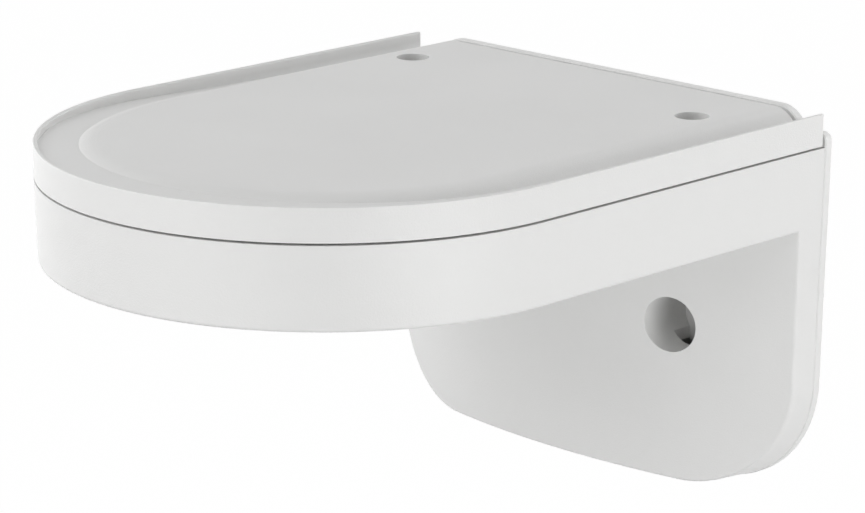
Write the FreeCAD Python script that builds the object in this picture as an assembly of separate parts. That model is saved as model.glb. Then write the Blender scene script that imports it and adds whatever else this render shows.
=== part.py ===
import FreeCAD, Part
import math
import os

# Camera wall bracket: a D-shaped junction arm over a crowned pedestal, on a steel wall plate.
# Millimetres. X runs to the right seen from the room, Y runs into the wall, Z runs up.
# The origin is the middle of the four wall screws, on the wall plate's rear face.

V = FreeCAD.Vector
UP = V(0, 0, 1)
INTO_WALL = V(0, 1, 0)

# Overall form
width = 124.0
reach = 153.5
plate_height = 88.45
plate_rise = 43.6
side_draft = 1.32
lower_corner_radius = 27.3

# Wall plate
plate_thickness = 2.2
plate_shoulder_radius = 1.8
plate_front_edge = 0.3
plate_rear_edge = 0.25
plate_margin = 0.2
wall_hole_spacing_x = 80.0
wall_hole_spacing_z = 56.0
wall_hole_radius = 2.4
wall_countersink_radius = 4.4
plate_cable_radius = 15.0
plate_cable_z = -4.0

# Top cover
cover_height = 7.18
cover_wall = 2.5
cover_rear_gap = 0.9
cover_rear_rim = 5.15
platform_rear_setback = 0.5
lip_rise = 0.1
lip_width = 1.0
lip_outer_radius = 0.2
lip_inner_radius = 0.45
gutter_depth = 4.55
gutter_nose_depth = 0.8
gutter_width = 5.8
gutter_corner_radius = 2.5
platform_drop = 0.2
flank_angle = 60.0
flank_foot_radius = 1.6
platform_edge_radius = 7.0

# Seam, rim and gasket
seam_gap = 0.5
rim_land = 1.4
rim_step_depth = 1.4
gasket_clearance = 0.05
tongue_clearance = 0.2
tongue_width = 1.5
tongue_depth = 3.0

# Arm of the main body
arm_depth = 17.77
body_wall = 3.3
arm_floor = 3.0
arm_edge_radius = 0.8
floor_fillet = 1.5
rib_width = 2.0
arm_rib_height = 8.0
arm_rib_x = 23.0

# Pedestal of the main body
crown_radius = 155.6
crown_depth = 22.35
crown_lean = 1.2
pedestal_slope = 6.5
front_corner_radius = 26.0
pedestal_wall = 3.0
pedestal_edge_radius = 0.6
pedestal_rib_x = (17.0, 46.0)
pedestal_rib_setback = 0.3

# Front wells that the body screws are reached through
well_x = 32.6
well_z = -6.7
well_radius = 6.37
well_tube_wall = 2.0
well_floor = 3.3
notch_width = 10.0
notch_length = 5.5

# Cable ways
camera_hole_radius = 20.0
collar_wall = 2.0
collar_height = 6.0
passage_length = 22.0
passage_width = 8.0
passage_y = -11.2
grommet_flange = 1.4
grommet_flange_thickness = 1.6
grommet_cable_radius = 3.0

# Fixings of the camera
camera_spacing = 60.0
camera_boss_radius = 4.5
camera_boss_height = 9.0
camera_insert_radius = 2.8
camera_insert_bore = 2.0
camera_insert_length = 7.0

# Fixings of the cover
cover_screw_x = 42.6
cover_screw_y = -24.0
cover_well_radius = 3.8
cover_well_depth = 10.5
cover_tube_wall = 1.6
cover_seat = 2.0
cover_boss_radius = 4.2
cover_insert_radius = 2.1
cover_insert_length = 5.7
hook_width = 14.0
hook_thickness = 1.6
catch_depth = 1.2
catch_height = 2.0
hook_clearance = 0.3

# Screws, seals and their clearances
body_screw_radius = 2.0
body_screw_head_radius = 3.8
body_screw_head_height = 2.2
body_screw_tip_gap = 0.3
body_screw_socket = 1.25
cover_screw_radius = 1.5
cover_screw_length = 8.0
cover_screw_head_radius = 2.85
cover_screw_head_height = 1.65
cover_screw_socket = 1.0
seal_radius = 3.3
seal_thickness = 0.8
thread_clearance = 0.05
shank_clearance = 0.25
insert_clearance = 0.05
insert_groove_share = 0.17
screw_dome_share = 0.75
socket_share = 0.55
socket_sides = 6
overcut = 1.0

# Heights and depths worked out from the sizes above
half_width = width / 2
nose_y = half_width - reach
inner_nose_y = body_wall - reach
plate_top = plate_rise
plate_bottom = plate_rise - plate_height
lip_top = plate_top + lip_rise
cover_bottom = lip_top - cover_height
platform_z = lip_top - platform_drop
gutter_z = lip_top - gutter_depth
rim_z = cover_bottom - seam_gap
underside_z = rim_z - arm_depth
floor_top = underside_z + arm_floor
gasket_z = rim_z - rim_step_depth
body_rear = -plate_thickness
cover_rear = body_rear - cover_rear_gap
tray_rear = body_rear - body_wall
well_floor_y = body_rear - well_floor
gasket_inset = rim_land + gasket_clearance
gasket_inner = body_wall - gasket_clearance
tongue_inset = body_wall + tongue_clearance
cover_seat_z = platform_z - cover_well_depth
cover_boss_top = cover_seat_z - cover_seat
cover_head_z = cover_seat_z + seal_thickness
draft_slope = math.tan(math.radians(side_draft))


def side_x(z):
    """Half width of the body at a height, drafted inwards below the rim."""
    return half_width - draft_slope * max(rim_z - z, 0.0)


def section_point(a, b):
    """Point of a section through the arm's side, a out from the middle and b up."""
    return V(a, nose_y, b)


def wall_point(a, b):
    """Point in the plane of the wall, a to the right and b up."""
    return V(a, 0, b)


def rounded_face(corners, place):
    """Flat face through (a, b, radius) corners, each rounded by a tangent arc."""
    count = len(corners)
    starts, mids, ends = [], [], []
    for i, (a, b, radius) in enumerate(corners):
        here = place(a, b)
        before = place(*corners[i - 1][:2]) - here
        after = place(*corners[(i + 1) % count][:2]) - here
        before.normalize()
        after.normalize()
        half_turn = before.getAngle(after) / 2
        run = radius / math.tan(half_turn)
        towards = before + after
        towards.normalize()
        starts.append(here + before * run)
        ends.append(here + after * run)
        mids.append(here + towards * (radius / math.sin(half_turn) - radius))
    edges = []
    for i in range(count):
        if corners[i][2] > 0:
            edges.append(Part.Arc(starts[i], mids[i], ends[i]).toShape())
        following = starts[(i + 1) % count]
        edges.append(Part.LineSegment(ends[i], following).toShape())
    return Part.Face(Part.Wire(edges))


def mirrored(corners):
    """Corners of a right half, closed by the same corners on the left."""
    return corners + [(-a, b, radius) for a, b, radius in reversed(corners)]


def around_d(corners, rear):
    """Solid with one section that runs round the nose and straight back to rear."""
    half = rounded_face(corners, section_point)
    nose = half.revolve(V(0, nose_y, 0), UP, -180)
    right = half.extrude(INTO_WALL * (rear - nose_y))
    left = right.mirror(V(0, 0, 0), V(1, 0, 0))
    return nose.fuse([right, left]).removeSplitter()


def d_block(inset, low, high, rear_edge=body_rear):
    """D-shaped block that lies inset within the arm's outline."""
    out = half_width - inset
    corners = [(0, low, 0), (out, low, 0), (out, high, 0), (0, high, 0)]
    return around_d(corners, rear_edge - inset)


def d_ring(outer_inset, inner_inset, low, high):
    """Closed ring between two insets of the arm's outline."""
    return d_block(outer_inset, low, high).cut(d_block(inner_inset, low, high))


def post(radius, x, y, low, high):
    """Upright cylinder."""
    return Part.makeCylinder(radius, high - low, V(x, y, low), UP)


def pin(radius, x, z, front, rear):
    """Cylinder that runs towards the wall."""
    return Part.makeCylinder(radius, rear - front, V(x, front, z), INTO_WALL)


def block(x0, x1, y0, y1, z0, z1):
    """Box between two corners."""
    return Part.makeBox(x1 - x0, y1 - y0, z1 - z0, V(x0, y0, z0))


def obround(length, breadth, y, low, high):
    """Upright block with round ends, across the middle."""
    radius = breadth / 2
    end = length / 2 - radius
    middle = block(-end, end, y - radius, y + radius, low, high)
    return middle.fuse([post(radius, -end, y, low, high), post(radius, end, y, low, high)]).removeSplitter()


def flank_inset(z):
    """Inset of the cover's inner flank at a height."""
    foot = lip_width + gutter_width + cover_wall / math.sin(math.radians(flank_angle))
    return foot + (z - gutter_z) / math.tan(math.radians(flank_angle))


def shoulder_inset(top):
    """Inset of the corner where the outer flank meets a flat top."""
    return lip_width + gutter_width + (top - gutter_z) / math.tan(math.radians(flank_angle))


def button_screw(shank_radius, length, head_radius, head_height, socket_radius):
    """Button head screw along Z, with its seat at the origin and its head above."""
    sag = head_height * screw_dome_share
    dome_radius = (head_radius ** 2 + sag ** 2) / (2 * sag)
    head = Part.makeCylinder(head_radius, head_height)
    dome = Part.makeSphere(dome_radius, V(0, 0, head_height - dome_radius))
    head = head.common(dome)
    socket_depth = head_height * socket_share
    turns = [math.tau * k / socket_sides for k in range(socket_sides + 1)]
    points = [V(socket_radius * math.cos(turn), socket_radius * math.sin(turn), 0) for turn in turns]
    socket = Part.Face(Part.makePolygon(points)).extrude(UP * (socket_depth + overcut))
    socket.translate(V(0, 0, head_height - socket_depth))
    shank = Part.makeCylinder(shank_radius, length, V(0, 0, -length))
    return head.cut(socket).fuse(shank).removeSplitter()


def cover_outline_top(top):
    """Upper right corners that the cover and the wall plate share."""
    return [
        (half_width - shoulder_inset(top), top, platform_edge_radius),
        (half_width - lip_width - gutter_width, gutter_z, flank_foot_radius),
    ]


def pedestal_section(depth, top, inset):
    """Outline of the pedestal at a depth in front of the wall, as a wire."""
    low = plate_bottom + inset + depth * math.tan(math.radians(pedestal_slope))
    share = depth / crown_depth
    radius = lower_corner_radius + (front_corner_radius - lower_corner_radius) * share - inset
    right = [(side_x(top) - inset, top, 0), (side_x(low) - inset, low, radius)]
    wire = rounded_face(mirrored(right), wall_point).OuterWire
    return wire.translated(V(0, -depth, 0))


def pedestal_block(top, inset):
    """Solid that runs out from the wall to beyond the crown, with a rising underside."""
    sections = [pedestal_section(depth, top, inset) for depth in (plate_thickness, crown_depth + overcut)]
    return Part.makeLoft(sections, True, True)


def crown_space(thickness):
    """Everything behind the crowned front face, less a wall thickness."""
    axis = V(0, -math.sin(math.radians(crown_lean)), math.cos(math.radians(crown_lean)))
    middle = V(0, crown_radius - crown_depth, underside_z)
    half_length = plate_height
    return Part.makeCylinder(crown_radius - thickness, 2 * half_length, middle - axis * half_length, axis)


def wall_plate():
    """Flat steel plate with the outline of the body and of the cover's end."""
    upper = list(reversed(cover_outline_top(plate_top)))
    side = half_width + plate_margin
    right = [(side, rim_z, 0), (side, gutter_z, plate_shoulder_radius)] + upper
    lower = [(side_x(plate_bottom) + plate_margin, plate_bottom, lower_corner_radius)]
    corners = mirrored(lower + right)
    face = rounded_face(corners, wall_point)
    plate = face.extrude(INTO_WALL * -plate_thickness)
    rear_edges = [e for e in plate.Edges if abs(e.BoundBox.YMin) < 1e-6 and abs(e.BoundBox.YMax) < 1e-6]
    plate = plate.makeFillet(plate_rear_edge, rear_edges)
    front_edges = [e for e in plate.Edges if abs(e.BoundBox.YMax - body_rear) < 1e-6]
    plate = plate.makeChamfer(plate_front_edge, front_edges)
    cuts = [pin(plate_cable_radius, 0, plate_cable_z, body_rear, 0)]
    countersink_depth = wall_countersink_radius - wall_hole_radius
    for sx in (-1, 1):
        x = sx * well_x
        cuts.append(pin(body_screw_radius + thread_clearance, x, well_z, body_rear, 0))
        for sz in (-1, 1):
            x = sx * wall_hole_spacing_x / 2
            z = sz * wall_hole_spacing_z / 2
            cuts.append(pin(wall_hole_radius, x, z, body_rear, 0))
            cone = Part.makeCone(wall_countersink_radius, wall_hole_radius, countersink_depth,
                                 V(x, body_rear, z), INTO_WALL)
            cuts.append(cone)
    return plate.cut(cuts)


def arm_shell():
    """Outer form of the arm, solid."""
    corners = [
        (0, underside_z, 0),
        (side_x(underside_z), underside_z, arm_edge_radius),
        (half_width, rim_z, 0),
        (0, rim_z, 0),
    ]
    return around_d(corners, body_rear)


def pedestal_shell():
    """Outer form of the pedestal, solid, with its front edge rounded."""
    shell = pedestal_block(floor_top, 0.0).common(crown_space(0.0))
    front = min(shell.Faces, key=lambda face: face.CenterOfMass.y)
    edges = [edge for edge in front.Edges if edge.BoundBox.ZMin < underside_z]
    return shell.makeFillet(pedestal_edge_radius, edges)


def tray_space():
    """Room inside the arm, open at the rim."""
    low_x = side_x(floor_top) - body_wall
    corners = [
        (0, floor_top, 0),
        (low_x, floor_top, floor_fillet),
        (half_width - body_wall, rim_z, 0),
        (half_width - body_wall, rim_z + overcut, 0),
        (0, rim_z + overcut, 0),
    ]
    return around_d(corners, tray_rear)


def pedestal_space():
    """Room inside the pedestal, open towards the wall plate."""
    return pedestal_block(underside_z, pedestal_wall).common(crown_space(pedestal_wall))


def well_tube(sx, shell):
    """Tube from the front face to the well's floor."""
    tube = pin(well_radius + well_tube_wall, sx * well_x, well_z, -crown_depth - body_wall, body_rear)
    return tube.common(shell)


def well_cuts(sx):
    """Bore, side notch and open screw slot of one front well."""
    x = sx * well_x
    slot = body_screw_radius + shank_clearance
    foot = well_z - well_radius - well_tube_wall - overcut
    bore = pin(well_radius, x, well_z, -crown_depth - body_wall, well_floor_y)
    notch = block(x - notch_width / 2, x + notch_width / 2, well_floor_y - notch_length, well_floor_y, foot, well_z)
    slot_end = pin(slot, x, well_z, well_floor_y, body_rear)
    slot_run = block(x - slot, x + slot, well_floor_y, body_rear, foot, well_z)
    return [bore, notch, slot_end, slot_run]


def pedestal_ribs(shell):
    """Upright ribs that carry the crowned front wall."""
    ribs = []
    for x in pedestal_rib_x:
        for sx in (-1, 1):
            left = sx * x - rib_width / 2
            rib = block(left, left + rib_width, -crown_depth - body_wall, body_rear - pedestal_rib_setback,
                        plate_bottom, floor_top)
            ribs.append(rib.common(shell))
    return ribs


def arm_ribs():
    """Ribs that stiffen the arm's floor, beside and across the camera's cable hole."""
    top = floor_top + arm_rib_height
    nose = nose_y - half_width
    ribs = []
    for sx in (-1, 1):
        left = sx * arm_rib_x - rib_width / 2
        ribs.append(block(left, left + rib_width, nose, tray_rear + overcut, underside_z + overcut, top))
        inner = sx * (camera_hole_radius + collar_wall / 2)
        outer = sx * (half_width - overcut)
        ribs.append(block(min(inner, outer), max(inner, outer), nose_y - rib_width / 2, nose_y + rib_width / 2,
                          underside_z + overcut, top))
    envelope = d_block(body_wall / 2, underside_z + overcut, top)
    return [rib.common(envelope) for rib in ribs]


def main_body():
    """One moulding: hollow arm, hollow pedestal, wells, bosses and ribs."""
    pedestal = pedestal_shell()
    body = arm_shell().cut(tray_space())
    body = body.cut(d_block(rim_land, gasket_z, rim_z + overcut))
    base = pedestal.cut(pedestal_space())
    base = base.cut(tray_space())
    body = body.fuse([base] + [well_tube(sx, pedestal) for sx in (-1, 1)] + pedestal_ribs(pedestal))
    collar_top = floor_top + collar_height
    adds = [post(camera_hole_radius + collar_wall, 0, nose_y, underside_z, collar_top)] + arm_ribs()
    cuts = [post(camera_hole_radius, 0, nose_y, underside_z, collar_top + arm_rib_height)]
    cuts.append(obround(passage_length, passage_width, passage_y, underside_z, floor_top + overcut))
    for sx in (-1, 1):
        cuts += well_cuts(sx)
        x = sx * cover_screw_x
        adds.append(post(cover_boss_radius, x, cover_screw_y, underside_z, cover_boss_top))
        cuts.append(post(cover_insert_radius + insert_clearance, x, cover_screw_y,
                         cover_head_z - cover_screw_length - overcut, cover_boss_top))
        for sy in (-1, 1):
            x = sx * camera_spacing / 2
            y = nose_y + sy * camera_spacing / 2
            adds.append(post(camera_boss_radius, x, y, underside_z, underside_z + camera_boss_height))
            cuts.append(post(camera_insert_radius + insert_clearance, x, y, underside_z,
                             underside_z + camera_insert_length + overcut))
    adds.append(nose_catch())
    return body.fuse(adds).cut(cuts).removeSplitter()


def tongue_bottom():
    """Height of the lower edge of the cover's tongue."""
    return cover_bottom - tongue_depth


def nose_catch():
    """Ledge on the nose's inner wall that the cover's hook goes under."""
    top = tongue_bottom() - hook_clearance
    half = hook_width / 2 + overcut
    return block(-half, half, inner_nose_y - body_wall / 2, inner_nose_y + catch_depth, top - catch_height, top)


def cover_hook():
    """Hook inside the cover's nose, whose foot goes under the body's ledge."""
    stem_front = inner_nose_y + catch_depth + hook_clearance
    stem_rear = inner_nose_y + tongue_clearance + tongue_width + hook_thickness
    foot_top = tongue_bottom() - 2 * hook_clearance - catch_height
    foot_bottom = foot_top - catch_height
    half = hook_width / 2
    stem = block(-half, half, stem_front, stem_rear, foot_bottom, cover_bottom + overcut)
    foot = block(-half, half, inner_nose_y, stem_front, foot_bottom, foot_top)
    clear_of_wall = body_wall + hook_clearance + draft_slope * (rim_z - foot_bottom)
    return [stem, foot.common(d_block(clear_of_wall, foot_bottom, foot_top))]


def gutter_fill():
    """Wedge that raises the gutter's floor from the wall to the nose."""
    nose = nose_y - half_width
    low = gutter_z - overcut
    outline = [
        V(-half_width, nose, low),
        V(-half_width, cover_rear, low),
        V(-half_width, cover_rear, gutter_z),
        V(-half_width, nose, lip_top - gutter_nose_depth),
    ]
    side = Part.Face(Part.makePolygon(outline + outline[:1]))
    inset = lip_width / 2
    return side.extrude(V(width, 0, 0)).common(d_block(inset, low, lip_top, cover_rear + inset))


def top_cover():
    """Screwed cover: thin lip, sloped gutter, platform with two screw wells, and a locating tongue."""
    corners = [
        (0, cover_bottom, 0),
        (half_width, cover_bottom, 0),
        (half_width, lip_top, lip_outer_radius),
        (half_width - lip_width, lip_top, lip_inner_radius),
        (half_width - lip_width, gutter_z, gutter_corner_radius),
    ]
    corners += list(reversed(cover_outline_top(platform_z)))
    corners.append((0, platform_z, 0))
    cover = around_d(corners, cover_rear).fuse(gutter_fill())
    ceiling = platform_z - cover_wall
    low = cover_bottom - overcut
    room = [
        (0, low, 0),
        (half_width - flank_inset(low), low, 0),
        (half_width - flank_inset(ceiling), ceiling, platform_edge_radius - cover_wall),
        (0, ceiling, 0),
    ]
    cover = cover.cut(around_d(room, cover_rear - cover_rear_rim))
    tongue = d_ring(tongue_inset, tongue_inset + tongue_width, tongue_bottom(), cover_bottom)
    adds = [tongue] + cover_hook()
    lip_inside = half_width - lip_width
    cuts = [block(-lip_inside, lip_inside, cover_rear - platform_rear_setback, cover_rear + overcut,
                  cover_bottom, lip_top + overcut)]
    for sx in (-1, 1):
        x = sx * cover_screw_x
        adds.append(post(cover_well_radius + cover_tube_wall, x, cover_screw_y, cover_boss_top, ceiling))
        cuts.append(post(cover_well_radius, x, cover_screw_y, cover_seat_z, lip_top))
        cuts.append(post(cover_screw_radius + shank_clearance, x, cover_screw_y, cover_boss_top, cover_seat_z))
    return cover.fuse(adds).cut(cuts).removeSplitter()


def cover_gasket():
    """Rubber ring that lies on the body's rim step and fills the seam."""
    return d_ring(gasket_inset, gasket_inner, gasket_z, cover_bottom)


def cable_grommet():
    """Rubber plug in the passage between pedestal and arm, pierced for one cable."""
    flange_length = passage_length + 2 * grommet_flange
    flange_width = passage_width + 2 * grommet_flange
    low = underside_z - grommet_flange_thickness
    high = floor_top + grommet_flange_thickness
    lower = obround(flange_length, flange_width, passage_y, low, underside_z)
    upper = obround(flange_length, flange_width, passage_y, floor_top, high)
    core = obround(passage_length - 2 * insert_clearance, passage_width - 2 * insert_clearance, passage_y,
                   underside_z, floor_top)
    return core.fuse([lower, upper]).cut(post(grommet_cable_radius, 0, passage_y, low, high)).removeSplitter()


def body_screw(sx):
    """Screw that clamps the well's floor to the wall plate."""
    length = -well_floor_y - body_screw_tip_gap
    screw = button_screw(body_screw_radius, length, body_screw_head_radius, body_screw_head_height,
                         body_screw_socket)
    screw.rotate(V(0, 0, 0), V(1, 0, 0), 90)
    screw.translate(V(sx * well_x, well_floor_y, well_z))
    return screw


def cover_screw(sx):
    """Screw at the bottom of a cover well."""
    screw = button_screw(cover_screw_radius, cover_screw_length, cover_screw_head_radius,
                         cover_screw_head_height, cover_screw_socket)
    screw.translate(V(sx * cover_screw_x, cover_screw_y, cover_head_z))
    return screw


def cover_screw_seal(sx):
    """Rubber washer between a cover screw's head and its seat."""
    x = sx * cover_screw_x
    ring = post(seal_radius, x, cover_screw_y, cover_seat_z, cover_head_z)
    return ring.cut(post(cover_screw_radius + thread_clearance, x, cover_screw_y, cover_seat_z, cover_head_z))


def threaded_insert(radius, bore, x, y, low, length):
    """Brass insert with one groove round its middle."""
    high = low + length
    body = post(radius, x, y, low, high).cut(post(bore, x, y, low, high))
    groove = length * insert_groove_share
    middle = (low + high) / 2
    band = post(radius + overcut, x, y, middle - groove / 2, middle + groove / 2)
    band = band.cut(post((radius + bore) / 2, x, y, middle - groove / 2, middle + groove / 2))
    return body.cut(band)


def cover_insert(sx):
    """Threaded insert in a cover boss."""
    return threaded_insert(cover_insert_radius, cover_screw_radius + thread_clearance, sx * cover_screw_x,
                           cover_screw_y, cover_boss_top - cover_insert_length, cover_insert_length)


def camera_insert(sx, sy):
    """Threaded insert in the arm's underside for the camera."""
    x = sx * camera_spacing / 2
    y = nose_y + sy * camera_spacing / 2
    return threaded_insert(camera_insert_radius, camera_insert_bore, x, y, underside_z, camera_insert_length)


def build():
    """All pieces by name."""
    pieces = {
        "wall_plate": wall_plate(),
        "main_body": main_body(),
        "top_cover": top_cover(),
        "cover_gasket": cover_gasket(),
        "cable_grommet": cable_grommet(),
    }
    for side, sx in (("left", -1), ("right", 1)):
        pieces["body_screw_" + side] = body_screw(sx)
        pieces["cover_screw_" + side] = cover_screw(sx)
        pieces["cover_screw_seal_" + side] = cover_screw_seal(sx)
        pieces["cover_insert_" + side] = cover_insert(sx)
        for end, sy in (("front", -1), ("rear", 1)):
            pieces["camera_insert_" + end + "_" + side] = camera_insert(sx, sy)
    return pieces


os.makedirs("parts", exist_ok=True)
for name, shape in build().items():
    shape.exportStep("parts/" + name + ".step")
    print(name, "solids", len(shape.Solids), "valid", shape.isValid(), "volume", round(shape.Volume, 1))
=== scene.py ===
"""Camera wall bracket, dressed: a white moulded arm and screwed cover on a coated steel wall plate."""
import logging
import math
from dataclasses import dataclass, field
from enum import Enum
from typing import Any

import bmesh
import bpy
from mathutils import Matrix, Vector


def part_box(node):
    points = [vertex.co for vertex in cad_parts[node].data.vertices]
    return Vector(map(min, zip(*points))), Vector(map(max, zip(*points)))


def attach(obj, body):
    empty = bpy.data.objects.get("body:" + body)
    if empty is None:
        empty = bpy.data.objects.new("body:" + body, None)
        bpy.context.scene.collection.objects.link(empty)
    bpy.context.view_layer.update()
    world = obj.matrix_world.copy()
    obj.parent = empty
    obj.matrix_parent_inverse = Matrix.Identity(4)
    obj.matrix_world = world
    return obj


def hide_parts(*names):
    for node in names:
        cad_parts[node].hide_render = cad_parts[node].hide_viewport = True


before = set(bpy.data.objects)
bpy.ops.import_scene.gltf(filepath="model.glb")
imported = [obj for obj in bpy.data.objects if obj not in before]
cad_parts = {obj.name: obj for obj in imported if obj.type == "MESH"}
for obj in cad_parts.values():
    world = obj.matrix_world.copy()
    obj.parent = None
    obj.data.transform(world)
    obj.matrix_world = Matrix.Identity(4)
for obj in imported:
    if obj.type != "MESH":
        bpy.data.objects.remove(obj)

LOG = logging.getLogger("bracket")
BODY = "root"
MM = 0.001

Inputs = dict[str | int, Any]


def linear(hex_colour: str) -> tuple[float, float, float, float]:
    """Turns a colour written as sRGB hex into linear light.

    Args:
        hex_colour: "#RRGGBB".

    Returns:
        Red, green, blue and alpha, from 0 to 1.
    """
    channels = []
    for start in (1, 3, 5):
        value = int(hex_colour[start:start + 2], 16) / 255
        channels.append(value / 12.92 if value <= 0.04045 else ((value + 0.055) / 1.055) ** 2.4)
    return channels[0], channels[1], channels[2], 1.0


def towards(azimuth: float, elevation: float) -> Vector:
    """Gives the direction from the bracket to something round it.

    Args:
        azimuth: Degrees from the room's side, to the right.
        elevation: Degrees above the level.

    Returns:
        The direction, of length 1.
    """
    turn = math.radians(azimuth)
    rise = math.radians(elevation)
    return Vector((math.sin(turn) * math.cos(rise), -math.cos(turn) * math.cos(rise), math.sin(rise)))


def add_node(tree: bpy.types.NodeTree, kind: str, settings: dict[str, Any] | None = None,
             inputs: Inputs | None = None) -> bpy.types.Node:
    """Adds one node with its settings and its inputs.

    Args:
        tree: The material's, world's or geometry's tree.
        kind: The node's type.
        settings: Properties of the node by name.
        inputs: Input sockets by name or number, each with a value or the socket that feeds it.

    Returns:
        The new node.
    """
    node = tree.nodes.new(kind)
    for name, value in (settings or {}).items():
        setattr(node, name, value)
    for key, value in (inputs or {}).items():
        if isinstance(value, bpy.types.NodeSocket):
            tree.links.new(value, node.inputs[key])
        else:
            node.inputs[key].default_value = value
    return node


def add_to_scene(name: str, data: bpy.types.ID) -> bpy.types.Object:
    """Makes an object of some data and links it to the scene.

    Args:
        name: The object's name.
        data: Its mesh, lamp or camera.

    Returns:
        The object, at the origin.
    """
    made = bpy.data.objects.new(name, data)
    bpy.context.scene.collection.objects.link(made)
    return made


class Slot(Enum):
    """The record's material slots of the pieces that are built here."""

    SCREW = "stainless_screw"
    RUBBER = "seal_rubber"
    BRASS = "insert_brass"


@dataclass(frozen=True)
class Finish:
    """What every finish shares: a principled surface with a grain in it.

    grain_mm is the width of one grain or pit and grain_depth_mm its depth. cloud_mm is the width of the
    slow changes in gloss and shade. roughness_spread is how far the gloss goes to either side, and
    cloud_band the part of the noise's range over which it does so.
    """

    name: str
    colour: str
    shade: str
    roughness: float
    roughness_spread: float
    grain_mm: float
    grain_depth_mm: float
    cloud_mm: float
    metallic: float = 0.0
    ior: float = 1.5
    cloud_band: tuple[float, float] = (0.3, 0.7)

    def material(self) -> bpy.types.Material:
        """Builds the material, or finds the one that is already built.

        Returns:
            The material.
        """
        made = bpy.data.materials.get(self.name)
        if made is not None:
            return made
        made = bpy.data.materials.new(self.name)
        made.use_nodes = True
        tree = made.node_tree
        tree.nodes.clear()
        place = add_node(tree, "ShaderNodeTexCoord").outputs["Object"]
        surface = add_node(tree, "ShaderNodeBsdfPrincipled", inputs={
            "Metallic": self.metallic, "IOR": self.ior})
        add_node(tree, "ShaderNodeOutputMaterial", inputs={"Surface": surface.outputs[0]})
        self.dress(tree, place, surface)
        return made

    def cloud(self, tree: bpy.types.NodeTree, place: bpy.types.NodeSocket) -> bpy.types.NodeSocket:
        """Adds the slow change in gloss and shade.

        Args:
            tree: The material's tree.
            place: Object coordinates, in metres.

        Returns:
            A factor about 0.5.
        """
        return add_node(tree, "ShaderNodeTexNoise", inputs={
            "Vector": place, "Scale": 1 / (self.cloud_mm * MM), "Detail": 3.0, "Roughness": 0.55}).outputs[0]

    def dress(self, tree: bpy.types.NodeTree, place: bpy.types.NodeSocket, surface: bpy.types.Node) -> None:
        """Adds the shade, the gloss and the grain.

        Args:
            tree: The material's tree.
            place: Object coordinates, in metres.
            surface: The principled shader to feed.
        """
        cloud = self.cloud(tree, place)
        colour = add_node(tree, "ShaderNodeMix", {"data_type": "RGBA"}, {
            "Factor": cloud, 6: linear(self.colour), 7: linear(self.shade)})
        gloss = add_node(tree, "ShaderNodeMapRange", inputs={
            "Value": cloud, "From Min": self.cloud_band[0], "From Max": self.cloud_band[1],
            "To Min": self.roughness - self.roughness_spread,
            "To Max": self.roughness + self.roughness_spread})
        bump = add_node(tree, "ShaderNodeBump", inputs={
            "Strength": 1.0, "Distance": self.grain_depth_mm * MM, "Height": self.grain(tree, place)})
        tree.links.new(colour.outputs[2], surface.inputs["Base Color"])
        tree.links.new(gloss.outputs[0], surface.inputs["Roughness"])
        tree.links.new(bump.outputs[0], surface.inputs["Normal"])

    def grain(self, tree: bpy.types.NodeTree, place: bpy.types.NodeSocket) -> bpy.types.NodeSocket:
        """Adds the height of the fine grain.

        Args:
            tree: The material's tree.
            place: Object coordinates, in metres.

        Returns:
            A height from 0 to 1.
        """
        return add_node(tree, "ShaderNodeTexNoise", inputs={
            "Vector": place, "Scale": 1 / (self.grain_mm * MM), "Detail": 2.0, "Roughness": 0.6}).outputs[0]


@dataclass(frozen=True)
class PowderCoat(Finish):
    """A thermoset powder coat: low rounded waves, as on orange peel.

    The ripples on the waves are ripple_share as high, and ripple_count of them go on one wave.
    """

    ripple_count: float = 2.5
    ripple_share: float = 0.3

    def grain(self, tree: bpy.types.NodeTree, place: bpy.types.NodeSocket) -> bpy.types.NodeSocket:
        """Adds rounded cells with a finer ripple on them.

        Args:
            tree: The material's tree.
            place: Object coordinates, in metres.

        Returns:
            A height of about 0 to 1.
        """
        cells = add_node(tree, "ShaderNodeTexVoronoi", {"feature": "SMOOTH_F1"}, {
            "Vector": place, "Scale": 1 / (self.grain_mm * MM), "Smoothness": 1.0})
        ripple = add_node(tree, "ShaderNodeTexNoise", inputs={
            "Vector": place, "Scale": self.ripple_count / (self.grain_mm * MM), "Detail": 1.0})
        return add_node(tree, "ShaderNodeMath", {"operation": "MULTIPLY_ADD"}, {
            0: ripple.outputs[0], 1: self.ripple_share, 2: cells.outputs["Distance"]}).outputs[0]


@dataclass(frozen=True)
class TurnedMetal(Finish):
    """A turned or cold-headed metal: fine rings left by the tool or die, from the piece's lathe attribute.

    grain_mm is the spacing of the rings. The scuffs on them are scuff_width spacings wide and scuff_share as
    high as a ring.
    """

    scuff_share: float = 1.5
    scuff_width: float = 2.0

    def grain(self, tree: bpy.types.NodeTree, place: bpy.types.NodeSocket) -> bpy.types.NodeSocket:
        """Adds rings along the turned profile.

        Args:
            tree: The material's tree.
            place: Object coordinates, in metres.

        Returns:
            A height of about -1 to 2.
        """
        along = add_node(tree, "ShaderNodeAttribute", {"attribute_name": TurnedBlank.PROFILE}).outputs["Fac"]
        turns = add_node(tree, "ShaderNodeMath", {"operation": "MULTIPLY"}, {
            0: along, 1: math.tau / (self.grain_mm * MM)})
        wave = add_node(tree, "ShaderNodeMath", {"operation": "SINE"}, {0: turns.outputs[0]})
        scuff = add_node(tree, "ShaderNodeTexNoise", inputs={
            "Vector": place, "Scale": 1 / (self.scuff_width * self.grain_mm * MM), "Detail": 2.0})
        return add_node(tree, "ShaderNodeMath", {"operation": "MULTIPLY_ADD"}, {
            0: scuff.outputs[0], 1: self.scuff_share, 2: wave.outputs[0]}).outputs[0]


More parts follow.
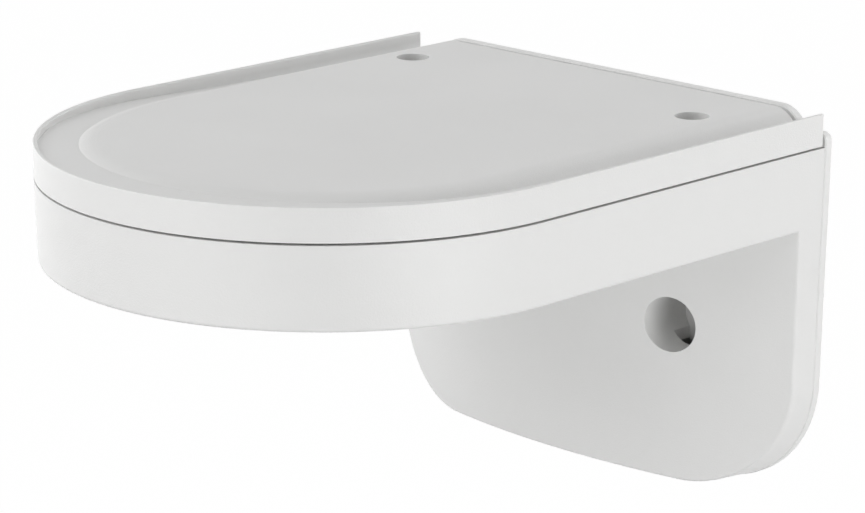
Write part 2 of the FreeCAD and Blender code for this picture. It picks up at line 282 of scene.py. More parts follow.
class Finishes:
    """The finishes of the bracket."""

    # Weatherable ABS, injection moulded in a spark-eroded mould: white and satin, with an even fine grain.
    # The real grain is about 0.1 mm wide. It is drawn at 0.35 mm and deeper, so that it shows from close by.
    HOUSING = Finish(
        "spark_eroded_white_abs", colour="#E9E9E8", shade="#E5E5E4", roughness=0.46, roughness_spread=0.03,
        grain_mm=0.35, grain_depth_mm=0.05, cloud_mm=38.0)
    # Polyester powder coat, baked on sheet steel: white and a little glossier, with soft orange peel about
    # 1 mm across. The peel is drawn deeper than its real 0.01 mm, so that it shows from close by.
    STEEL = PowderCoat(
        "white_powder_coat", colour="#EAEAE9", shade="#E7E7E6", roughness=0.36, roughness_spread=0.04,
        grain_mm=1.0, grain_depth_mm=0.05, cloud_mm=25.0)
    # Stainless steel, cold headed and rolled: grey, with bright rings 0.06 mm apart on the head.
    SCREW = TurnedMetal(
        "passivated_stainless", colour="#C3C1BC", shade="#B5B3AF", roughness=0.3, roughness_spread=0.06,
        grain_mm=0.06, grain_depth_mm=0.001, cloud_mm=3.0, metallic=1.0)
    # Black EPDM rubber, moulded in a blasted mould: dull, with a faint bloom. Its pits are drawn at 0.3 mm,
    # twice their real width, so that they show from close by.
    RUBBER = Finish(
        "black_epdm_rubber", colour="#191919", shade="#252524", roughness=0.68, roughness_spread=0.08,
        grain_mm=0.3, grain_depth_mm=0.06, cloud_mm=5.0, ior=1.52)
    # Free-cutting brass, turned on an automatic lathe: yellow, with bright rings 0.05 mm apart.
    BRASS = TurnedMetal(
        "turned_brass", colour="#D8B36A", shade="#CCA55C", roughness=0.26, roughness_spread=0.05,
        grain_mm=0.05, grain_depth_mm=0.001, cloud_mm=4.0, metallic=1.0)


@dataclass(frozen=True)
class Ring:
    """One ring of a turned profile, in millimetres.

    corners is 0 for a round ring, or the number of flats of a socket; the radius is then to a corner.
    """

    radius: float
    height: float
    corners: int = 0

    def at(self, angle: float) -> Vector:
        """Gives one point of the ring.

        Args:
            angle: The point's angle about the Z axis, in radians.

        Returns:
            The point, in metres.
        """
        radius = self.radius
        if self.corners:
            step = math.tau / self.corners
            off = angle % step - step / 2
            radius *= math.cos(step / 2) / math.cos(off)
        return Vector((radius * math.cos(angle), radius * math.sin(angle), self.height)) * MM


@dataclass
class TurnedBlank:
    """A closed solid of rings about the Z axis, before threads and knurls are cut.

    sides is the number of points round it. closed_loop joins the last ring to the first, as a bored piece
    needs; otherwise both ends are capped.
    """

    PROFILE = "along_profile"

    name: str
    rings: list[Ring]
    sides: int
    closed_loop: bool = False

    def build(self) -> bpy.types.Object:
        """Builds the mesh, with the way along the profile kept at each point.

        Returns:
            The blank, in the scene.
        """
        mesh = bmesh.new()
        along = mesh.verts.layers.float.new(self.PROFILE)
        rows = []
        travelled = 0.0
        before = self.rings[0]
        for ring in self.rings:
            travelled += math.hypot(ring.radius - before.radius, ring.height - before.height)
            before = ring
            row = [mesh.verts.new(ring.at(math.tau * k / self.sides)) for k in range(self.sides)]
            for vertex in row:
                vertex[along] = travelled * MM
            rows.append(row)
        pairs = list(zip(rows, rows[1:]))
        if self.closed_loop:
            pairs.append((rows[-1], rows[0]))
        else:
            mesh.faces.new(reversed(rows[0]))
            mesh.faces.new(rows[-1])
        for low, high in pairs:
            for k in range(self.sides):
                following = (k + 1) % self.sides
                mesh.faces.new((low[k], low[following], high[following], high[k]))
        bmesh.ops.recalc_face_normals(mesh, faces=mesh.faces)
        data = bpy.data.meshes.new(self.name)
        mesh.to_mesh(data)
        mesh.free()
        return add_to_scene(self.name, data)


class ShapeTree:
    """A Geometry Nodes tree with named inputs, built once and applied as a modifier."""

    def __init__(self, name: str) -> None:
        """Starts an empty tree with geometry in and out.

        Args:
            name: The tree's name.
        """
        self.tree = bpy.data.node_groups.new(name, "GeometryNodeTree")
        self.tree.interface.new_socket("Shape", in_out="INPUT", socket_type="NodeSocketGeometry")
        self.tree.interface.new_socket("Shape", in_out="OUTPUT", socket_type="NodeSocketGeometry")
        self.inside = self.tree.nodes.new("NodeGroupInput")
        self.outside = self.tree.nodes.new("NodeGroupOutput")

    def named(self, name: str, kind: str = "NodeSocketFloat") -> bpy.types.NodeSocket:
        """Adds a named input and gives the socket of its value inside the tree."""
        self.tree.interface.new_socket(name, in_out="INPUT", socket_type=kind)
        return self.inside.outputs[name]

    def give(self, shape: bpy.types.NodeSocket) -> None:
        """Makes a geometry socket the tree's result."""
        self.tree.links.new(shape, self.outside.inputs[0])

    def add_to(self, target: bpy.types.Object, values: dict[str, Any]) -> None:
        """Adds the tree to an object as a modifier.

        Args:
            target: The object.
            values: A value for each named input.
        """
        modifier = target.modifiers.new(self.tree.name, "NODES")
        modifier.node_group = self.tree
        identifiers = {item.name: item.identifier for item in self.tree.interface.items_tree
                       if item.in_out == "INPUT"}
        for name, value in values.items():
            modifier[identifiers[name]] = value


def groove_tree(crest: float = 0.06, root: float = 0.42) -> ShapeTree:
    """Builds the tree that cuts helical grooves: one start makes a thread, many starts make a knurl.

    The number of starts is negative for right-hand grooves.

    Args:
        crest: Half the width of a groove's uncut crest, as a share of the pitch.
        root: Where the groove reaches its full depth, as a share of the pitch.

    Returns:
        A tree that moves each point in or out from the Z axis by the depth of the groove at its place.
    """
    shape = ShapeTree("helical_grooves")
    tree = shape.tree
    starts = shape.named("Starts")
    rise = shape.named("Turns per metre")
    cut = shape.named("Cut")
    foot = shape.named("Foot")
    top = shape.named("Top")
    run_out = shape.named("Run-out")
    least = shape.named("Least radius")
    most = shape.named("Greatest radius")
    position = add_node(tree, "GeometryNodeInputPosition").outputs[0]
    x, y, z = add_node(tree, "ShaderNodeSeparateXYZ", inputs={0: position}).outputs
    flat = add_node(tree, "ShaderNodeCombineXYZ", inputs={0: x, 1: y}).outputs[0]
    radius = add_node(tree, "ShaderNodeVectorMath", {"operation": "LENGTH"}, {0: flat}).outputs["Value"]
    outwards = add_node(tree, "ShaderNodeVectorMath", {"operation": "NORMALIZE"}, {0: flat}).outputs[0]
    angle = add_node(tree, "ShaderNodeMath", {"operation": "ARCTAN2"}, {0: y, 1: x}).outputs[0]
    turn = add_node(tree, "ShaderNodeMath", {"operation": "DIVIDE"}, {0: angle, 1: math.tau}).outputs[0]
    spread = add_node(tree, "ShaderNodeMath", {"operation": "MULTIPLY"}, {0: turn, 1: starts}).outputs[0]
    phase = add_node(tree, "ShaderNodeMath", {"operation": "MULTIPLY_ADD"}, {
        0: z, 1: rise, 2: spread}).outputs[0]
    wave = add_node(tree, "ShaderNodeMath", {"operation": "PINGPONG"}, {0: phase, 1: 0.5}).outputs[0]
    groove = add_node(tree, "ShaderNodeMapRange", inputs={
        "Value": wave, "From Min": crest, "From Max": root}).outputs[0]
    depth = add_node(tree, "ShaderNodeMath", {"operation": "MULTIPLY"}, {0: groove, 1: cut}).outputs[0]
    for upper, lower in ((z, foot), (top, z)):
        beyond = add_node(tree, "ShaderNodeMath", {"operation": "SUBTRACT"}, {0: upper, 1: lower}).outputs[0]
        fade = add_node(tree, "ShaderNodeMath", {"operation": "DIVIDE", "use_clamp": True}, {
            0: beyond, 1: run_out}).outputs[0]
        depth = add_node(tree, "ShaderNodeMath", {"operation": "MULTIPLY"}, {0: depth, 1: fade}).outputs[0]
    above = add_node(tree, "FunctionNodeCompare", {"operation": "GREATER_THAN"}, {
        0: radius, 1: least}).outputs[0]
    below = add_node(tree, "FunctionNodeCompare", {"operation": "LESS_THAN"}, {
        0: radius, 1: most}).outputs[0]
    chosen = add_node(tree, "FunctionNodeBooleanMath", {"operation": "AND"}, {0: above, 1: below}).outputs[0]
    move = add_node(tree, "ShaderNodeVectorMath", {"operation": "SCALE"}, {
        0: outwards, "Scale": depth}).outputs[0]
    moved = add_node(tree, "GeometryNodeSetPosition", inputs={
        "Geometry": shape.inside.outputs[0], "Selection": chosen, "Offset": move})
    shape.give(moved.outputs[0])
    return shape


def pattern_tree() -> ShapeTree:
    """Builds the tree that puts copies of a piece on a grid of fixing points.

    Returns:
        A tree that turns the piece, places it and ends in realised instances with one material.
    """
    shape = ShapeTree("fixing_pattern")
    tree = shape.tree
    spacing_x = shape.named("Spacing X")
    spacing_y = shape.named("Spacing Y")
    rows = shape.named("Rows", "NodeSocketInt")
    middle = shape.named("Middle", "NodeSocketVector")
    tilt = shape.named("Tilt", "NodeSocketVector")
    finish = shape.named("Finish", "NodeSocketMaterial")
    grid = add_node(tree, "GeometryNodeMeshGrid", inputs={
        "Size X": spacing_x, "Size Y": spacing_y, "Vertices X": 2, "Vertices Y": rows})
    placed = add_node(tree, "GeometryNodeSetPosition", inputs={"Geometry": grid.outputs[0], "Offset": middle})
    turn = add_node(tree, "FunctionNodeEulerToRotation", inputs={0: tilt}).outputs[0]
    copies = add_node(tree, "GeometryNodeInstanceOnPoints", inputs={
        "Points": placed.outputs[0], "Instance": shape.inside.outputs[0], "Rotation": turn})
    real = add_node(tree, "GeometryNodeRealizeInstances", inputs={0: copies.outputs[0]})
    dressed = add_node(tree, "GeometryNodeSetMaterial", inputs={
        "Geometry": real.outputs[0], "Material": finish})
    shape.give(dressed.outputs[0])
    return shape


def ring_tree(path_steps: int = 48, edge_steps: int = 4) -> ShapeTree:
    """Builds the tree that sweeps a seal's section round a D.

    The D is a half circle at the nose, and square at the rear but for two small corners.

    Args:
        path_steps: Straight steps in each corner of the D.
        edge_steps: Straight steps in each rounded edge of the section.

    Returns:
        A tree that ends in one material.
    """
    shape = ShapeTree("d_shaped_seal")
    tree = shape.tree
    half_width = shape.named("Half width")
    nose = shape.named("Nose")
    rear = shape.named("Rear")
    level = shape.named("Level")
    corner = shape.named("Rear corner")
    breadth = shape.named("Breadth")
    height = shape.named("Height")
    edge = shape.named("Edge radius")
    finish = shape.named("Finish", "NodeSocketMaterial")
    width = add_node(tree, "ShaderNodeMath", {"operation": "MULTIPLY"}, {0: half_width, 1: 2.0}).outputs[0]
    length = add_node(tree, "ShaderNodeMath", {"operation": "SUBTRACT"}, {0: rear, 1: nose}).outputs[0]
    total = add_node(tree, "ShaderNodeMath", {"operation": "ADD"}, {0: rear, 1: nose}).outputs[0]
    centre = add_node(tree, "ShaderNodeMath", {"operation": "MULTIPLY"}, {0: total, 1: 0.5}).outputs[0]
    offset = add_node(tree, "ShaderNodeCombineXYZ", inputs={1: centre, 2: level}).outputs[0]
    outline = add_node(tree, "GeometryNodeCurvePrimitiveQuadrilateral", {"mode": "RECTANGLE"}, {
        "Width": width, "Height": length}).outputs[0]
    position = add_node(tree, "GeometryNodeInputPosition").outputs[0]
    at_y = add_node(tree, "ShaderNodeSeparateXYZ", inputs={0: position}).outputs[1]
    at_nose = add_node(tree, "FunctionNodeCompare", {"operation": "LESS_THAN"}, {0: at_y, 1: 0.0}).outputs[0]
    radius = add_node(tree, "GeometryNodeSwitch", {"input_type": "FLOAT"}, {
        "Switch": at_nose, "False": corner, "True": half_width}).outputs[0]
    rounded = add_node(tree, "GeometryNodeFilletCurve", {"mode": "POLY"}, {
        "Curve": outline, "Count": path_steps, "Radius": radius, "Limit Radius": True})
    path = add_node(tree, "GeometryNodeSetPosition", inputs={
        "Geometry": rounded.outputs[0], "Offset": offset})
    section = add_node(tree, "GeometryNodeCurvePrimitiveQuadrilateral", {"mode": "RECTANGLE"}, {
        "Width": breadth, "Height": height}).outputs[0]
    soft = add_node(tree, "GeometryNodeFilletCurve", {"mode": "POLY"}, {
        "Curve": section, "Count": edge_steps, "Radius": edge, "Limit Radius": True})
    swept = add_node(tree, "GeometryNodeCurveToMesh", inputs={
        "Curve": path.outputs[0], "Profile Curve": soft.outputs[0]})
    dressed = add_node(tree, "GeometryNodeSetMaterial", inputs={
        "Geometry": swept.outputs[0], "Material": finish})
    shape.give(dressed.outputs[0])
    return shape


def freeze(piece: bpy.types.Object, crease: float = 32.0) -> None:
    """Makes an object's evaluated shape its plain mesh, smooth but for its creases, and drops its modifiers.

    Args:
        piece: The object with its modifiers.
        crease: The least angle in degrees between two faces with a sharp edge.
    """
    bpy.context.view_layer.update()
    evaluated = piece.evaluated_get(bpy.context.evaluated_depsgraph_get())
    mesh = bpy.data.meshes.new_from_object(evaluated)
    mesh.shade_smooth()
    mesh.set_sharp_from_angle(angle=math.radians(crease))
    piece.modifiers.clear()
    piece.data = mesh


def hand_over(piece: bpy.types.Object, nodes: tuple[str, ...]) -> bpy.types.Object:
    """Freezes a finished piece and fixes it to the bracket.

    Args:
        piece: The piece, with its modifiers.
        nodes: The solids that it stands for.

    Returns:
        The piece.
    """
    freeze(piece)
    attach(piece, BODY)
    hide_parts(*nodes)
    LOG.info("%s: %d faces", piece.name, len(piece.data.polygons))
    return piece


@dataclass(frozen=True)
class Toolbox:
    """The Geometry Nodes trees that the small pieces are made with."""

    grooves: ShapeTree = field(default_factory=groove_tree)
    pattern: ShapeTree = field(default_factory=pattern_tree)
    sweep: ShapeTree = field(default_factory=ring_tree)


@dataclass(frozen=True)
class FixingPoints:
    """The grid on which copies of one fixing stand, in metres, read from their solids.

    axis points from the fixing's foot to its head.
    """

    middle: Vector
    spacing: Vector
    rows: int
    axis: Vector

    @classmethod
    def of(cls, nodes: tuple[str, ...], axis: tuple[float, float, float]) -> "FixingPoints":
        """Reads the grid from the solids' boxes.

        Args:
            nodes: The solids, one for each copy.
            axis: The direction from foot to head.

        Returns:
            The grid, whose middle lies halfway between foot and head.
        """
        centres = [(low + high) / 2 for low, high in (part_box(node) for node in nodes)]
        low = Vector(map(min, zip(*centres)))
        high = Vector(map(max, zip(*centres)))
        return cls((low + high) / 2, high - low, 2 if high.y - low.y > MM else 1, Vector(axis))

    def values(self, centre: float, finish: Finish) -> dict[str, Any]:
        """Gives the inputs of the pattern tree.

        Args:
            centre: How far the middle of the piece lies above its own origin, in metres.
            finish: The copies' finish.

        Returns:
            A value for each named input.
        """
        tilt = Vector((0.0, 0.0, 1.0)).rotation_difference(self.axis).to_euler()
        return {"Spacing X": self.spacing.x, "Spacing Y": self.spacing.y, "Rows": self.rows,
                "Middle": self.middle - self.axis * centre, "Tilt": tuple(tilt), "Finish": finish.material()}


@dataclass(frozen=True)
class Screw:
    """A button head screw with a hexagon socket and a rolled thread, in millimetres.

    Its origin is on the head's seat. socket is the radius to a corner of the hexagon. The thread is
    thread_share of its pitch deep, ends bare_share of its pitch under the head, and is cut only where the
    blank's radius lies in thread_band, as shares of the crest. mouth_flare, bevel_flare, floor_flare and
    drill_share are the radii of the socket's round mouth, its bevelled rim, its floor and the flat end of
    the drill's cone under it, all as shares of its own.
    """

    name: str
    nodes: tuple[str, ...]
    axis: tuple[float, float, float]
    crest: float
    pitch: float
    length: float
    head_radius: float
    head_height: float
    socket: float
    thread_share: float = 0.61
    thread_band: tuple[float, float] = (0.6, 1.02)
    bare_share: float = 0.6
    rim_share: float = 0.25
    under_head: float = 0.12
    flats: int = 6
    mouth_flare: float = 1.22
    bevel_flare: float = 1.06
    bevel_top: float = 0.04
    bevel_foot: float = 0.12
    floor_share: float = 0.45
    floor_flare: float = 0.92
    floor_fillet: float = 0.08
    drill_share: float = 0.3
    drill_depth: float = 0.12
    dome_steps: int = 8
    sides: int = 48
    rows_per_pitch: int = 8

    def shank(self) -> list[Ring]:
        """Lists the rings from the chamfered tip up to the seat.

        Returns:
            The rings, the first at the tip.
        """
        chamfer = self.pitch * self.thread_share
        start = self.length - chamfer
        count = int(self.length / self.pitch * self.rows_per_pitch)
        rings = [Ring(self.crest - chamfer, -self.length)]
        rings += [Ring(self.crest, -start + start * k / count) for k in range(count + 1)]
        return rings

    def head(self) -> list[Ring]:
        """Lists the rings from the seat over the dome to the socket's mouth.

        Returns:
            The rings, the last at the mouth.
        """
        rim = self.head_height * self.rim_share
        sag = self.head_height - rim
        dome = (self.head_radius ** 2 + sag ** 2) / (2 * sag)
        mouth = self.socket * self.mouth_flare
        rings = [Ring(self.head_radius - self.under_head, 0.0), Ring(self.head_radius, self.under_head),
                 Ring(self.head_radius, rim)]
        for k in range(1, self.dome_steps + 1):
            radius = self.head_radius + (mouth - self.head_radius) * k / self.dome_steps
            rings.append(Ring(radius, self.head_height - dome + math.sqrt(dome ** 2 - radius ** 2)))
        return rings

    def recess(self, mouth: float) -> list[Ring]:
        """Lists the rings down the hexagon socket to its drilled floor.

        Args:
            mouth: Height of the socket's mouth.

        Returns:
            The rings, the last at the middle of the floor.
        """
        floor = self.head_height * self.floor_share
        return [Ring(self.socket * self.bevel_flare, mouth - self.bevel_top, self.flats),
                Ring(self.socket, mouth - self.bevel_foot, self.flats),
                Ring(self.socket, floor + self.floor_fillet, self.flats),
                Ring(self.socket * self.floor_flare, floor, self.flats),
                Ring(self.socket * self.drill_share, floor - self.drill_depth)]

    def build(self, tools: Toolbox) -> bpy.types.Object:
        """Turns the blank, rolls its thread and places the copies.

        Args:
            tools: The shape trees.

        Returns:
            The screws, as one piece.
        """
        head = self.head()
        piece = TurnedBlank(self.name, self.shank() + head + self.recess(head[-1].height), self.sides).build()
        tools.grooves.add_to(piece, {
            "Starts": -1.0, "Turns per metre": 1 / (self.pitch * MM),
            "Cut": -self.pitch * self.thread_share * MM,
            "Foot": (-self.length - self.pitch) * MM, "Top": -self.bare_share * self.pitch * MM,
            "Run-out": self.pitch * MM, "Least radius": self.thread_band[0] * self.crest * MM,
            "Greatest radius": self.thread_band[1] * self.crest * MM})
        points = FixingPoints.of(self.nodes, self.axis)
        tools.pattern.add_to(piece, points.values((self.head_height - self.length) / 2 * MM, Finishes.SCREW))
        return hand_over(piece, self.nodes)


@dataclass(frozen=True)
class Insert:
    """A knurled brass insert with an inner thread, in millimetres, its origin at its foot.

    The groove between its two lands is groove_share of its length wide. Each hand of the knurl winds
    knurl_turn of a full turn over the length, stops knurl_edge from both ends and fades over knurl_fade
    there. It is cut only in the outermost land_share of the wall, and the thread only as far as
    thread_reach outside the bore.
    """

    name: str
    nodes: tuple[str, ...]
    radius: float
    bore: float
    pitch: float
    length: float
    knurl_depth: float
    axis: tuple[float, float, float] = (0.0, 0.0, 1.0)
    groove_share: float = 0.17
    groove_taper: float = 0.08
    chamfer: float = 0.25
    thread_share: float = 0.45
    thread_reach: float = 0.1
    ridges: int = 18
    sides_per_ridge: int = 4
    knurl_steps: int = 8
    knurl_turn: float = 0.25
    knurl_edge: float = 0.1
    knurl_fade: float = 0.3
    land_share: float = 0.05
    rows_per_pitch: int = 6

    def outside(self) -> list[Ring]:
        """Lists the rings up both knurled lands and the groove between them.

        Returns:
            The rings, the first at the foot.
        """
        half_groove = self.length * self.groove_share / 2
        low = self.length / 2 - half_groove
        high = self.length / 2 + half_groove
        waist = (self.radius + self.bore) / 2
        rings = [Ring(self.radius - self.chamfer, 0.0)]
        for start, stop in ((self.chamfer, low), (high, self.length - self.chamfer)):
            rings += [Ring(self.radius, start + (stop - start) * k / self.knurl_steps)
                      for k in range(self.knurl_steps + 1)]
            if stop == low:
                rings += [Ring(waist, low + self.groove_taper), Ring(waist, high - self.groove_taper)]
        rings.append(Ring(self.radius - self.chamfer, self.length))
        return rings

    def inside(self) -> list[Ring]:
        """Lists the rings down the threaded bore.

        Returns:
            The rings, the last at the foot.
        """
        count = int(self.length / self.pitch * self.rows_per_pitch)
        span = self.length - 2 * self.chamfer
        rings = [Ring(self.bore + self.chamfer, self.length)]
        rings += [Ring(self.bore, self.length - self.chamfer - span * k / count) for k in range(count + 1)]
        rings.append(Ring(self.bore + self.chamfer, 0.0))
        return rings

    def build(self, tools: Toolbox) -> bpy.types.Object:
        """Turns the blank, cuts its thread and both hands of its knurl, and places the copies.

        Args:
            tools: The shape trees.

        Returns:
            The inserts, as one piece.
        """
        sides = self.ridges * self.sides_per_ridge
        piece = TurnedBlank(self.name, self.outside() + self.inside(), sides, closed_loop=True).build()
        tools.grooves.add_to(piece, {
            "Starts": -1.0, "Turns per metre": 1 / (self.pitch * MM),
            "Cut": -self.thread_share * self.pitch * MM, "Foot": 0.0, "Top": self.length * MM,
            "Run-out": self.pitch * MM, "Least radius": 0.0,
            "Greatest radius": (self.bore + self.thread_reach) * MM})
        land = self.radius - self.land_share * (self.radius - self.bore)
        for hand in (-1, 1):
            tools.grooves.add_to(piece, {
                "Starts": hand * float(self.ridges),
                "Turns per metre": self.knurl_turn * self.ridges / (self.length * MM),
                "Cut": -self.knurl_depth * MM, "Foot": self.knurl_edge * MM,
                "Top": (self.length - self.knurl_edge) * MM, "Run-out": self.knurl_fade * MM,
                "Least radius": land * MM, "Greatest radius": 2 * self.radius * MM})
        points = FixingPoints.of(self.nodes, self.axis)
        tools.pattern.add_to(piece, points.values(self.length / 2 * MM, Finishes.BRASS))
        return hand_over(piece, self.nodes)


@dataclass(frozen=True)
class RimGasket:
    """The rubber ring in the seam, swept round the rim with rounded edges, in millimetres."""

    name: str = "rim_gasket"
    node: str = "cover_gasket"
    breadth: float = 1.8
    edge: float = 0.35
    rear_corner: float = 0.6

    def build(self, tools: Toolbox) -> bpy.types.Object:
        """Sweeps the seal inside the solid's own box.

        Args:
            tools: The shape trees.

        Returns:
            The gasket.
        """
        low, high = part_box(self.node)
        piece = add_to_scene(self.name, bpy.data.meshes.new(self.name))
        inset = self.breadth * MM / 2
        tools.sweep.add_to(piece, {
            "Half width": high.x - inset, "Nose": low.y + inset, "Rear": high.y - inset,
            "Level": (low.z + high.z) / 2, "Rear corner": self.rear_corner * MM,
            "Breadth": self.breadth * MM, "Height": high.z - low.z, "Edge radius": self.edge * MM,
            "Finish": Finishes.RUBBER.material()})
        return hand_over(piece, (self.node,))


@dataclass(frozen=True)
class PlateAndMouldings:
    """The solids that keep their own shape and only get their finish."""

    finishes: dict[str, Finish] = field(default_factory=lambda: {
        "wall_plate": Finishes.STEEL,
        "main_body": Finishes.HOUSING,
        "top_cover": Finishes.HOUSING,
        "cable_grommet": Finishes.RUBBER,
        "cover_screw_seal_left": Finishes.RUBBER,
        "cover_screw_seal_right": Finishes.RUBBER,
    })

    def dress(self) -> None:
        """Gives each solid its finish."""
        for name, finish in self.finishes.items():
            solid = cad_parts[name]
            solid.data.materials.clear()
            solid.data.materials.append(finish.material())
            LOG.info("%s: %s", name, finish.name)


@dataclass(frozen=True)
class Viewpoint:
    """The photograph's camera, in metres, degrees and pixels."""

    place: tuple[float, float, float] = (0.510795, -0.576578, 0.210969)
    azimuth: float = 44.481
    elevation: float = 15.354
    roll: float = 0.156
    focal_px: float = 3435.18
    middle_px: tuple[float, float] = (445.368, 253.217)
    frame_px: tuple[int, int] = (865, 513)
    sensor_mm: float = 36.0

    def build(self) -> bpy.types.Object:
        """Makes the camera and sets it as the scene's.

        Returns:
            The camera.
        """
        back = towards(self.azimuth, self.elevation)
        turn = math.radians(self.azimuth)
        right = Vector((math.cos(turn), math.sin(turn), 0.0))
        level = Matrix((right, back.cross(right), back)).transposed().to_4x4()
        width, height = self.frame_px
        data = bpy.data.cameras.new("photograph")
        data.sensor_width = self.sensor_mm
        data.lens = self.focal_px / width * self.sensor_mm
        data.shift_x = (width / 2 - self.middle_px[0]) / width
        data.shift_y = (self.middle_px[1] - height / 2) / width
        camera = add_to_scene("photograph", data)
        camera.matrix_world = (Matrix.Translation(self.place) @ level
                               @ Matrix.Rotation(math.radians(self.roll), 4, "Z"))
        bpy.context.scene.camera = camera
        return camera


@dataclass(frozen=True)
class SoftBox:
    """A large square lamp that looks at the bracket, in degrees, watts and metres."""

    name: str
    azimuth: float
    elevation: float
    power: float
    distance: float = 1.6
    side: float = 1.2

    def build(self, target: Vector) -> bpy.types.Object:
        """Makes the lamp, turned towards a point.

        Args:
            target: The point.

        Returns:
            The lamp, which the camera doesn't see.
        """
        back = towards(self.azimuth, self.elevation)
        data = bpy.data.lights.new(self.name, "AREA")
        data.shape = "SQUARE"
        data.size = self.side
        data.energy = self.power
        lamp = add_to_scene(self.name, data)
        lamp.location = target + back * self.distance
        lamp.rotation_euler = back.to_track_quat("Z", "Y").to_euler()
        lamp.visible_camera = False
        return lamp


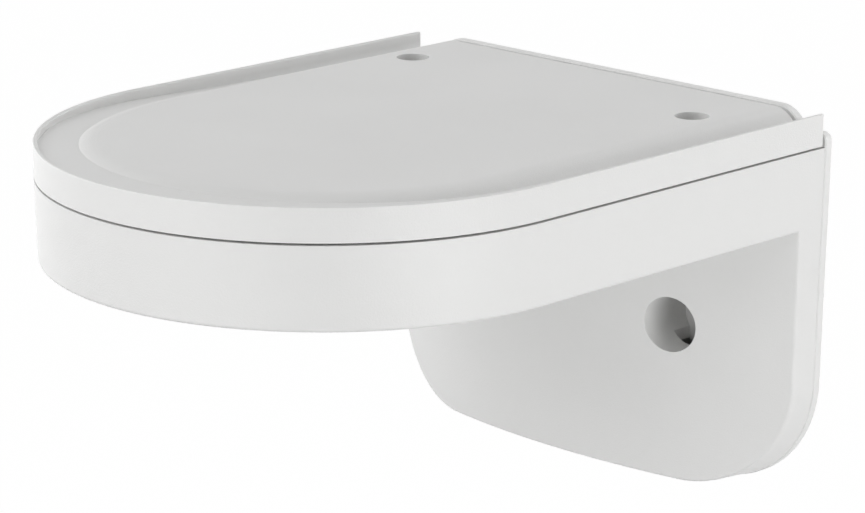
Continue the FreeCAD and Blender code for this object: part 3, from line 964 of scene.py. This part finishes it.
@dataclass(frozen=True)
class Studio:
    """A white room with soft lamps and a pale floor far under the bracket, in metres.

    Where the floor is seen it glows white, and takes only shadow_share of the lamps' light, so that a faint
    shadow of the bracket is left. lamps_on_floor is about how bright the lamps make a white floor there, and
    the glow is weaker by their share of it, so that the two together come to white.
    """

    target: Vector = field(default_factory=lambda: Vector((0.0, -0.07, 0.0)))
    white: str = "#FFFFFF"
    floor_drop: float = 2.0
    floor_size: float = 30.0
    floor_albedo: float = 0.8
    shadow_share: float = 0.1
    lamps_on_floor: float = 0.1
    sky: float = 0.05
    lamps: tuple[SoftBox, ...] = (
        SoftBox("right", azimuth=85.0, elevation=-10.0, power=13.7),
        SoftBox("high_left_front", azimuth=-38.0, elevation=40.0, power=9.3),
        SoftBox("front", azimuth=0.0, elevation=-10.0, power=8.0),
        SoftBox("rear_right", azimuth=140.0, elevation=10.0, power=7.6),
        SoftBox("left_front", azimuth=-38.0, elevation=5.0, power=6.9),
        SoftBox("high_rear", azimuth=180.0, elevation=30.0, power=5.4),
        SoftBox("camera_side", azimuth=40.0, elevation=45.0, power=5.1),
        SoftBox("left", azimuth=-90.0, elevation=5.0, power=4.4),
        SoftBox("low_right", azimuth=100.0, elevation=-30.0, power=3.0),
        SoftBox("top", azimuth=0.0, elevation=85.0, power=2.9),
    )

    def seen(self, tree: bpy.types.NodeTree) -> bpy.types.NodeSocket:
        """Adds the factor that tells what the camera sees from what lights the bracket.

        Args:
            tree: The world's or a material's tree.

        Returns:
            1 where the camera sees the thing itself, mirrored or through glass, and otherwise 0.
        """
        path = add_node(tree, "ShaderNodeLightPath").outputs
        either = add_node(tree, "ShaderNodeMath", {"operation": "MAXIMUM"}, {
            0: path["Is Camera Ray"], 1: path["Is Glossy Ray"]}).outputs[0]
        return add_node(tree, "ShaderNodeMath", {"operation": "MAXIMUM"}, {
            0: either, 1: path["Is Transmission Ray"]}).outputs[0]

    def world(self) -> None:
        """Makes the world: white where it is seen, and a plain level of light elsewhere."""
        world = bpy.data.worlds.new("studio")
        world.use_nodes = True
        tree = world.node_tree
        tree.nodes.clear()
        white = linear(self.white)
        light = add_node(tree, "ShaderNodeBackground", inputs={"Color": white, "Strength": self.sky})
        shown = add_node(tree, "ShaderNodeBackground", inputs={"Color": white, "Strength": 1.0})
        both = add_node(tree, "ShaderNodeMixShader", inputs={
            0: self.seen(tree), 1: light.outputs[0], 2: shown.outputs[0]})
        add_node(tree, "ShaderNodeOutputWorld", inputs={"Surface": both.outputs[0]})
        bpy.context.scene.world = world

    def floor_paint(self) -> bpy.types.Material:
        """Makes the floor's paint: matt and pale, and white where it is seen, but for the bracket's shadow.

        Returns:
            The material.
        """
        paint = bpy.data.materials.new("floor_paint")
        paint.use_nodes = True
        tree = paint.node_tree
        tree.nodes.clear()
        matt = add_node(tree, "ShaderNodeBsdfDiffuse", inputs={"Color": (self.floor_albedo,) * 3 + (1.0,)})
        faint = add_node(tree, "ShaderNodeBsdfDiffuse", inputs={"Color": (self.shadow_share,) * 3 + (1.0,)})
        glow = add_node(tree, "ShaderNodeEmission", inputs={
            "Color": linear(self.white), "Strength": 1.0 - self.lamps_on_floor * self.shadow_share})
        pale = add_node(tree, "ShaderNodeAddShader", inputs={0: faint.outputs[0], 1: glow.outputs[0]})
        both = add_node(tree, "ShaderNodeMixShader", inputs={
            0: self.seen(tree), 1: matt.outputs[0], 2: pale.outputs[0]})
        add_node(tree, "ShaderNodeOutputMaterial", inputs={"Surface": both.outputs[0]})
        return paint

    def floor(self) -> bpy.types.Object:
        """Makes the floor.

        Returns:
            The floor.
        """
        half = self.floor_size / 2
        mesh = bmesh.new()
        outline = [(-half, -half), (half, -half), (half, half), (-half, half)]
        mesh.faces.new([mesh.verts.new((x, y, -self.floor_drop)) for x, y in outline])
        data = bpy.data.meshes.new("floor")
        mesh.to_mesh(data)
        mesh.free()
        data.materials.append(self.floor_paint())
        floor = add_to_scene("floor", data)
        return floor

    def build(self) -> None:
        """Makes the world, the floor and the lamps."""
        self.world()
        self.floor()
        for lamp in self.lamps:
            lamp.build(self.target)
        bpy.context.scene.view_settings.view_transform = "Standard"


@dataclass(frozen=True)
class Bracket:
    """The whole bracket: its plate and mouldings, its gasket and its fixings."""

    plate_and_mouldings: PlateAndMouldings = field(default_factory=PlateAndMouldings)
    gasket: RimGasket = field(default_factory=RimGasket)
    screws: tuple[Screw, ...] = (
        Screw("body_screws", ("body_screw_left", "body_screw_right"), axis=(0.0, -1.0, 0.0), crest=2.0,
              pitch=0.7, length=5.2, head_radius=3.8, head_height=2.2, socket=1.25),
        Screw("cover_screws", ("cover_screw_left", "cover_screw_right"), axis=(0.0, 0.0, 1.0), crest=1.5,
              pitch=0.5, length=8.0, head_radius=2.85, head_height=1.65, socket=1.0),
    )
    inserts: tuple[Insert, ...] = (
        Insert("cover_inserts", ("cover_insert_left", "cover_insert_right"), radius=2.1, bore=1.55,
               pitch=0.5, length=5.7, knurl_depth=0.12),
        Insert("camera_inserts", ("camera_insert_front_left", "camera_insert_front_right",
                                  "camera_insert_rear_left", "camera_insert_rear_right"),
               radius=2.8, bore=2.0, pitch=0.7, length=7.0, knurl_depth=0.22),
    )

    def build(self) -> None:
        """Dresses the solids that stay and builds the pieces that replace the others."""
        self.plate_and_mouldings.dress()
        tools = Toolbox()
        self.gasket.build(tools)
        for fixing in self.screws + self.inserts:
            fixing.build(tools)


def corners(box: tuple[Vector, Vector]) -> list[list[float]]:
    """Gives a box's two corners as plain lists."""
    return [list(corner) for corner in box]


def main() -> None:
    """Builds the camera, the studio and the bracket."""
    logging.basicConfig(level=logging.INFO, format="%(name)s: %(message)s")
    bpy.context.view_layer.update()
    Viewpoint().build()
    Studio().build()
    Bracket().build()


if __name__ == "__main__":
    main()
